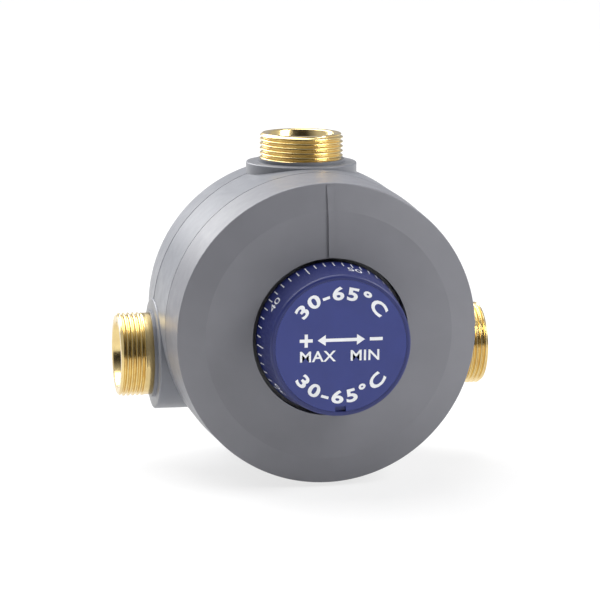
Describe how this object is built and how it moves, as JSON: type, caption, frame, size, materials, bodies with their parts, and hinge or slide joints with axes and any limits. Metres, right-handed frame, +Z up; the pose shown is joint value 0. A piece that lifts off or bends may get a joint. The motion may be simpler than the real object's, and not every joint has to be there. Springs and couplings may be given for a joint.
{
  "type": "thermostatic mixing valve",
  "caption": "Round drum-shaped mixing valve with threaded side inlets, a threaded top outlet, a painted conical front cover and a blue temperature knob.",
  "frame": {"origin": "centre of the flat back face, on the axis shared by the drum and the knob", "axes": "+X towards the cold inlet, -Y out of the front through the knob, +Z up towards the mixed outlet"},
  "size_m": [0.188, 0.127, 0.1658],
  "materials": {
    "body_paint": "semi-gloss grey paint",
    "cover_paint": "semi-gloss grey paint",
    "brass": "machined",
    "inner_brass": "machined",
    "element_brass": "drawn",
    "steel": "stainless, plain",
    "rubber": "matte",
    "check_plastic": "moulded",
    "poppet_plastic": "moulded",
    "shuttle_plastic": "moulded",
    "knob_blue": "satin",
    "cap_blue": "satin"
  },
  "bodies": {
    "valve": {"valve_body": "body_paint", "front_cover": "cover_paint", "cover_gasket": "rubber", "cover_nut": "inner_brass", "hot_nipple": "brass", "cold_nipple": "brass", "outlet_nipple": "brass", "nipple_seals": "rubber", "cartridge_sleeve": "inner_brass", "sleeve_seals": "rubber", "bonnet": "inner_brass", "bonnet_seal": "rubber", "hot_strainer": "steel", "cold_strainer": "steel", "hot_check_cage": "check_plastic", "cold_check_cage": "check_plastic", "hot_check_spring": "steel", "cold_check_spring": "steel", "return_spring": "steel"},
    "knob": {"knob_body": "knob_blue", "knob_cap": "cap_blue", "knob_screw": "steel", "spindle": "inner_brass", "spindle_seal": "rubber"},
    "carrier": {"carrier": "inner_brass", "cup_retainer": "steel", "overload_spring": "steel"},
    "cup": {"overload_cup": "inner_brass", "element_piston": "steel"},
    "shuttle": {"shuttle": "shuttle_plastic", "wax_element": "element_brass", "element_nut": "inner_brass"},
    "hot_poppet": {"hot_check_poppet": "poppet_plastic"},
    "cold_poppet": {"cold_check_poppet": "poppet_plastic"}
  },
  "joints": [
    {"name": "knob_turn", "type": "hinge", "parent": "valve", "child": "knob", "pos_m": [0, -0.11, 0], "axis": [0, -1, 0], "range_deg": [-126, 126]},
    {"name": "carrier_travel", "type": "slide", "parent": "valve", "child": "carrier", "axis": [0, -1, 0], "range_m": [-0.0011, 0.0011]},
    {"name": "cup_travel", "type": "slide", "parent": "carrier", "child": "cup", "axis": [0, -1, 0], "range_m": [0, 0.0025], "stiffness_N_per_m": 8000, "springref_m": -0.004, "deforming": ["overload_spring"]},
    {"name": "shuttle_travel", "type": "slide", "parent": "valve", "child": "shuttle", "axis": [0, -1, 0], "range_m": [-0.004, 0.004], "stiffness_N_per_m": 4000, "deforming": ["return_spring"]},
    {"name": "hot_poppet_travel", "type": "slide", "parent": "valve", "child": "hot_poppet", "axis": [1, 0, 0], "range_m": [0, 0.005], "stiffness_N_per_m": 300, "springref_m": -0.002, "deforming": ["hot_check_spring"]},
    {"name": "cold_poppet_travel", "type": "slide", "parent": "valve", "child": "cold_poppet", "axis": [-1, 0, 0], "range_m": [0, 0.005], "stiffness_N_per_m": 300, "springref_m": -0.002, "deforming": ["cold_check_spring"]}
  ],
  "couplings": [
    {"joint": "carrier_travel", "follows": "knob_turn", "m_per_rad": 0.00047746}
  ]
}
